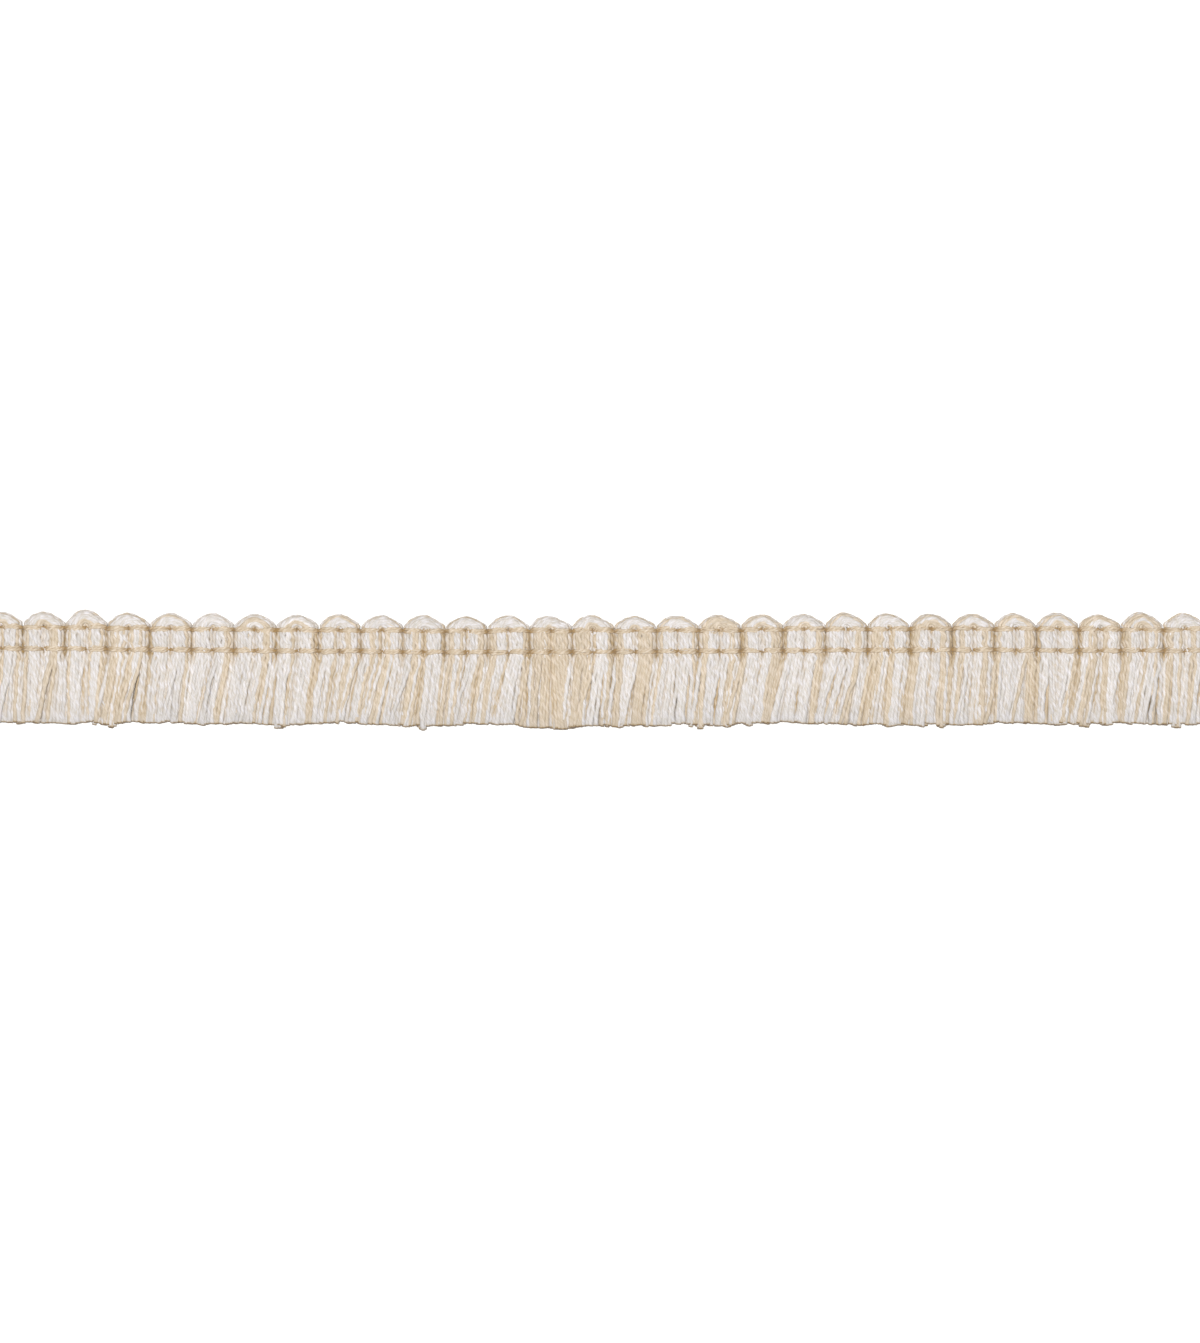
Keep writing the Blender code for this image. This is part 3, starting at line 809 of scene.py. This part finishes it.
def bundle_lines(index, yarn, brush):
    """The yarns of one bundle, as one group of lines for each layer."""
    dice = np.random.default_rng(BUNDLE_SEED + index)
    sections, counts = bundle_sections(index)
    down = sections.down
    stations, is_tan = lay_out(BUNDLES[index], yarn, dice)
    levels = stations[:, :, 1]
    second = (levels == LAYERS[1].level).all(1)[:, None]
    across, level = places_between(stations, second, counts, down, dice)
    half = len(down) // 2
    legs = ((slice(0, half), 0), (slice(half, None), 2))
    locks = gather_locks(across, stations, legs, down, brush, dice)
    plan, height, radius, top = laid_in(sections, across, level, yarn.diameter)

    tips = tip_levels(index)
    for (leg, station), leg_tips, end in zip(legs, (tips[2::-1], tips[2:]), (0, -1)):
        loose = np.where(levels[:, station] == LAYERS[0].level, 1.0, UNDER_LOOSE)
        longer = tip_lengths(across[:, end], leg_tips, brush, dice)
        plan[:, leg, 1] -= longer[:, None] * down[leg]
        aside, lift = stray(down[leg], loose, *locks[:, :, station], brush, dice)
        plan[:, leg, 0] += aside
        height[:, leg] += lift
    height = np.maximum(height, radius)
    # The turn slopes down to its rim, so the face, from which painted shade is measured, is the
    # top over each yarn there.
    in_turn = np.repeat((False, True, False), counts)
    crowns = np.where(in_turn, top, sections.crown)
    hollow = sections.hollow * np.where(second & (down > 0.0), UNDER_FACE, 1.0)

    count = len(stations)
    x = bundle_x(index)
    knots = np.concatenate((plan, height[:, :, None]), axis=2)
    knots += np.array((MIDDLE_X + x, LOWER_Y + bow(x), 0.0))
    radii = radius * dice.normal(1.0, UNEVEN_SPINNING, count)[:, None]
    shade = dice.normal(0.0, UNEVEN_DYE, count)
    phase = dice.uniform(0.0, 2 * math.pi, count)
    # A yarn that is on top somewhere shows most, and is drawn finely. One that is at the back
    # somewhere, and never on top, is drawn coarsely.
    on_top = levels.max(1) == LAYERS[0].level
    at_back = levels.min(1) == LAYERS[2].level
    kinds = np.where(on_top, 0, np.where(at_back, 2, 1))
    groups = []
    for kind, layer in enumerate(LAYERS):
        members = np.nonzero(kinds == kind)[0]
        if not len(members):
            continue
        values = (radii[members], crowns[members], hollow[members])
        groups.append(Lines(*evenly(knots[members], values, layer.sections),
                            is_tan[members].astype(int), shade[members], phase[members]))
    return groups


# Painted shade for the hollows between yarns: darker, and warm, as light that has gone from yarn
# to yarn takes their colour. A cut end has a darker painted shade on its rim, around a flat face
# of fibre ends, which is only a little darker than the yarn's side.
CREAM_HOLLOW_SHADE, TAN_HOLLOW_SHADE, THREAD_HOLLOW_SHADE = "B8A588", "9E8457", "9E8259"
YARN_END_SHADE, THREAD_END_SHADE = "7E6F66", "6E5642"
CREAM_FACE, TAN_FACE = "CFC4B6", "C2B08F"
IN_A_PIECE = 5          # bundles in one piece


class MESH_OT_fringe_bundles(bpy.types.Operator):
    """Lays the yarns of every bundle: brush, rib, scallop, rib and brush again"""
    bl_idname = "mesh.fringe_bundles"
    bl_label = "Yarn bundles"

    def execute(self, context):
        yarn, brush = context.scene.fringe_yarn, context.scene.fringe_brush
        finishes = [
            spun_yarn(f"combed_cotton_{name}", colour, linear(hollow), linear(cut_end))
            for name, colour, hollow, cut_end in (
                ("cream_plied", yarn.cream, CREAM_HOLLOW_SHADE, YARN_END_SHADE),
                ("tan_plied", yarn.tan, TAN_HOLLOW_SHADE, YARN_END_SHADE),
                ("cream_cut_face", yarn.cream, CREAM_HOLLOW_SHADE, CREAM_FACE),
                ("tan_cut_face", yarn.tan, TAN_HOLLOW_SHADE, TAN_FACE),
            )
        ]
        for first in range(0, len(LOOPS), IN_A_PIECE):
            names = LOOPS[first:first + IN_A_PIECE]
            groups = []
            for index in range(first, first + len(names)):
                groups.extend(bundle_lines(index, yarn, brush))
            name = f"yarn_bundles_{first + 1:02d}_to_{first + len(names):02d}"
            piece = yarn_object(name, groups, yarn.ply_turn, finishes)
            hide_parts(*names)
            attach(piece, "root")
        return {"FINISHED"}


# ---- chain stitch

# The thread's face. The further the thread dips under it, the more painted shade it takes.
LINK_CROWN = 3.55
# Half of a link over one rib: along the row, how far its strands part, and their height
HALF_LINK = ((-0.10, 0.2, 0.8), (0.05, 0.3, 1.3), (0.45, 0.6, 1.95), (1.2, 0.9, 2.5))
LINK_POINTS = (
    *HALF_LINK, (RIB / 2, 1.1, 2.87),
    *((RIB - along, part, height) for along, part, height in reversed(HALF_LINK)),
)
LINK_ROUGH = (0.10, 0.10, 0.06)
STRANDS = (-1.0, 0.0, 1.0)      # the two legs of a link, and the thread that it was worked over
CORE_LOWER = 0.06       # that thread lies this much lower
# The thread across the back, along from each dip between two ribs, and its height
BACK_POINTS = ((0.0, 1.2), (0.5, 0.7), (RIB / 2, 0.40), (RIB - 0.5, 0.7))
BACK_ROUGH = 0.05
# Each row's node, its y, how far the middle of its links is pushed towards the scallops, and the
# spread of that
STITCH_ROWS = (
    ("lower_stitch", -0.2, 0.0, 0.07), ("upper_stitch", ROW_SPACING - 0.25, 0.22, 0.2),
)
STITCH_SEED = 7
LINK_SECTIONS, BACK_SECTIONS = 30, 900
THREAD_DYE = 0.3        # spread of the depth of dye from link to link
THREAD_TURN = 0.57      # one turn of the thread's plies, next to one of the yarn's


def link_knots(x, row_y, strand, pushed, spread, dice):
    """One strand of a link of the chain, from the dip before its rib to the dip after it."""
    knots = []
    for along, part, height in LINK_POINTS:
        middle = math.sin(math.pi * min(max(along / RIB, 0.0), 1.0))
        y = strand * spread * part + pushed * middle
        knots.append((x + along, y, height - CORE_LOWER * (strand == 0.0)))
    knots = np.array(knots)
    knots += dice.normal(0.0, 1.0, knots.shape) * LINK_ROUGH
    knots[:, 1] += row_y + bow(knots[:, 0])
    return knots


def back_knots(row_y, dice):
    """The thread across the back, drawn up between the ribs into each link of the chain."""
    knots = []
    for count in range(RIBS + 1):
        x = (count - RIBS / 2) * RIB
        # It ends in the last dip.
        points = BACK_POINTS if count < RIBS else BACK_POINTS[:1]
        knots += [(x + along, row_y + bow(x + along), height) for along, height in points]
    knots = np.array(knots)
    knots[:, 1] += dice.normal(0.0, BACK_ROUGH, len(knots))
    return knots


class MESH_OT_fringe_stitches(bpy.types.Operator):
    """Works the two rows of chain stitch across the ribs, with the thread across the back"""
    bl_idname = "mesh.fringe_stitches"
    bl_label = "Chain stitch rows"

    def execute(self, context):
        stitch, yarn = context.scene.fringe_stitch, context.scene.fringe_yarn
        # Mercerised cotton looks like the yarn, but closer plied. Where it dips between the ribs,
        # and at the ends of its links there, it is painted darker and browner as shade.
        thread = spun_yarn("mercerised_cotton_tan_thread", stitch.colour,
                           linear(THREAD_HOLLOW_SHADE), linear(THREAD_END_SHADE))
        origin = np.array((MIDDLE_X, LOWER_Y, 0.0))
        for number, (node, row_y, push, uneven) in enumerate(STITCH_ROWS):
            dice = np.random.default_rng(STITCH_SEED + number)
            links = []
            for count in range(RIBS):
                x = (count - RIBS / 2) * RIB
                pushed = push + dice.normal(0.0, uneven)
                for strand in STRANDS:
                    links.append(link_knots(x, row_y, strand, pushed, stitch.spread, dice))
            links = np.array(links) + origin
            back = back_knots(row_y, dice)[None] + origin
            groups = []
            for knots, sections in ((links, LINK_SECTIONS), (back, BACK_SECTIONS)):
                values = [np.full(knots.shape[:2], value) for value in
                          (stitch.thread / 2, LINK_CROWN, THREAD_HOLLOW_DEPTH)]
                count = len(knots)
                groups.append(Lines(*evenly(knots, values, sections), np.zeros(count, int),
                                    dice.normal(0.0, THREAD_DYE, count),
                                    dice.uniform(0.0, 2 * math.pi, count)))
            piece = yarn_object(f"chain_{node}", groups, THREAD_TURN * yarn.ply_turn, (thread,))
            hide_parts(node)
            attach(piece, "root")
        return {"FINISHED"}


# ---- stage

# The table, the room and the light, in metres and watts
TABLE_HALF = 1.5
TABLE_TOP = -0.05 * MM  # just clear of the back of the trim
BOARD_COLOUR = "FAFAFA"
ROOM_COLOUR, ROOM_STRENGTH = "FFF7EE", 0.27
SOFTBOX_AT, SOFTBOX_SIZE, SOFTBOX_POWER = (-0.10, 0.06, 1.7), 0.35, 31.0
# The camera looks straight down at a point that is counted from the middle of the lower row.
VIEW_WIDTH = 326.3
VIEW_X, VIEW_Y, VIEW_Z = -3.85, -5.53, 3.0
LENS, SENSOR = 120.0, 36.0
CLIP_START = 0.01       # metres


class SCENE_OT_fringe_stage(bpy.types.Operator):
    """Sets out the white table, the soft studio light and the camera straight overhead"""
    bl_idname = "scene.fringe_stage"
    bl_label = "Table, light and camera"

    def execute(self, context):
        scene = context.scene
        scene.view_settings.view_transform = "Standard"
        mesh = bpy.data.meshes.new("table_top")
        corners = [(-1, -1), (1, -1), (1, 1), (-1, 1)]
        mesh.from_pydata([(x * TABLE_HALF, y * TABLE_HALF, TABLE_TOP) for x, y in corners], [],
                         [(0, 1, 2, 3)])
        mesh.materials.append(painted_board("white_emulsion_board", linear(BOARD_COLOUR)))
        table = new_object("table_top", mesh)

        world = bpy.data.worlds.new("studio_room")
        world.use_nodes = True
        room = world.node_tree.nodes["Background"]
        room.inputs["Color"].default_value = linear(ROOM_COLOUR)
        room.inputs["Strength"].default_value = ROOM_STRENGTH
        scene.world = world
        light = bpy.data.lights.new("overhead_softbox", "AREA")
        light.shape = "SQUARE"
        light.size = SOFTBOX_SIZE
        light.energy = SOFTBOX_POWER
        lamp = new_object("overhead_softbox", light)
        lamp.location = SOFTBOX_AT
        lamp.rotation_euler = (-Vector(SOFTBOX_AT)).to_track_quat("-Z", "Y").to_euler()

        data = bpy.data.cameras.new("overhead_camera")
        data.sensor_fit = "HORIZONTAL"
        data.sensor_width = SENSOR
        data.lens = LENS
        data.clip_start = CLIP_START
        scene.camera = new_object("overhead_camera", data)
        centre = Vector((MIDDLE_X + VIEW_X, LOWER_Y + VIEW_Y, VIEW_Z)) * MM
        view_width = VIEW_WIDTH * MM
        scene.camera.location = centre + Vector((0.0, 0.0, view_width * LENS / SENSOR))
        return {"FINISHED"}


class VIEW3D_PT_fringe(bpy.types.Panel):
    """The trim's sizes and colours, and a button for each group of pieces"""
    bl_label = "Brush Fringe Trim"
    bl_space_type = "VIEW_3D"
    bl_region_type = "UI"
    bl_category = "Fringe"

    def draw(self, context):
        for group in GROUPS:
            settings = getattr(context.scene, group)
            box = self.layout.box()
            for name in settings.__annotations__:
                box.prop(settings, name)
        for operator in OPERATORS:
            self.layout.operator(operator.bl_idname)


GROUPS = {"fringe_yarn": FringeYarn, "fringe_brush": FringeBrush, "fringe_stitch": FringeStitch}
OPERATORS = (MESH_OT_fringe_bundles, MESH_OT_fringe_stitches, SCENE_OT_fringe_stage)


def register():
    for kind in (*GROUPS.values(), *OPERATORS, VIEW3D_PT_fringe):
        bpy.utils.register_class(kind)
    for name, kind in GROUPS.items():
        setattr(bpy.types.Scene, name, PointerProperty(type=kind))


def unregister():
    for name in GROUPS:
        delattr(bpy.types.Scene, name)
    for kind in (VIEW3D_PT_fringe, *reversed(OPERATORS), *reversed(GROUPS.values())):
        bpy.utils.unregister_class(kind)


def main():
    register()
    bpy.ops.mesh.fringe_bundles()
    bpy.ops.mesh.fringe_stitches()
    bpy.ops.scene.fringe_stage()


if __name__ == "__main__":
    main()
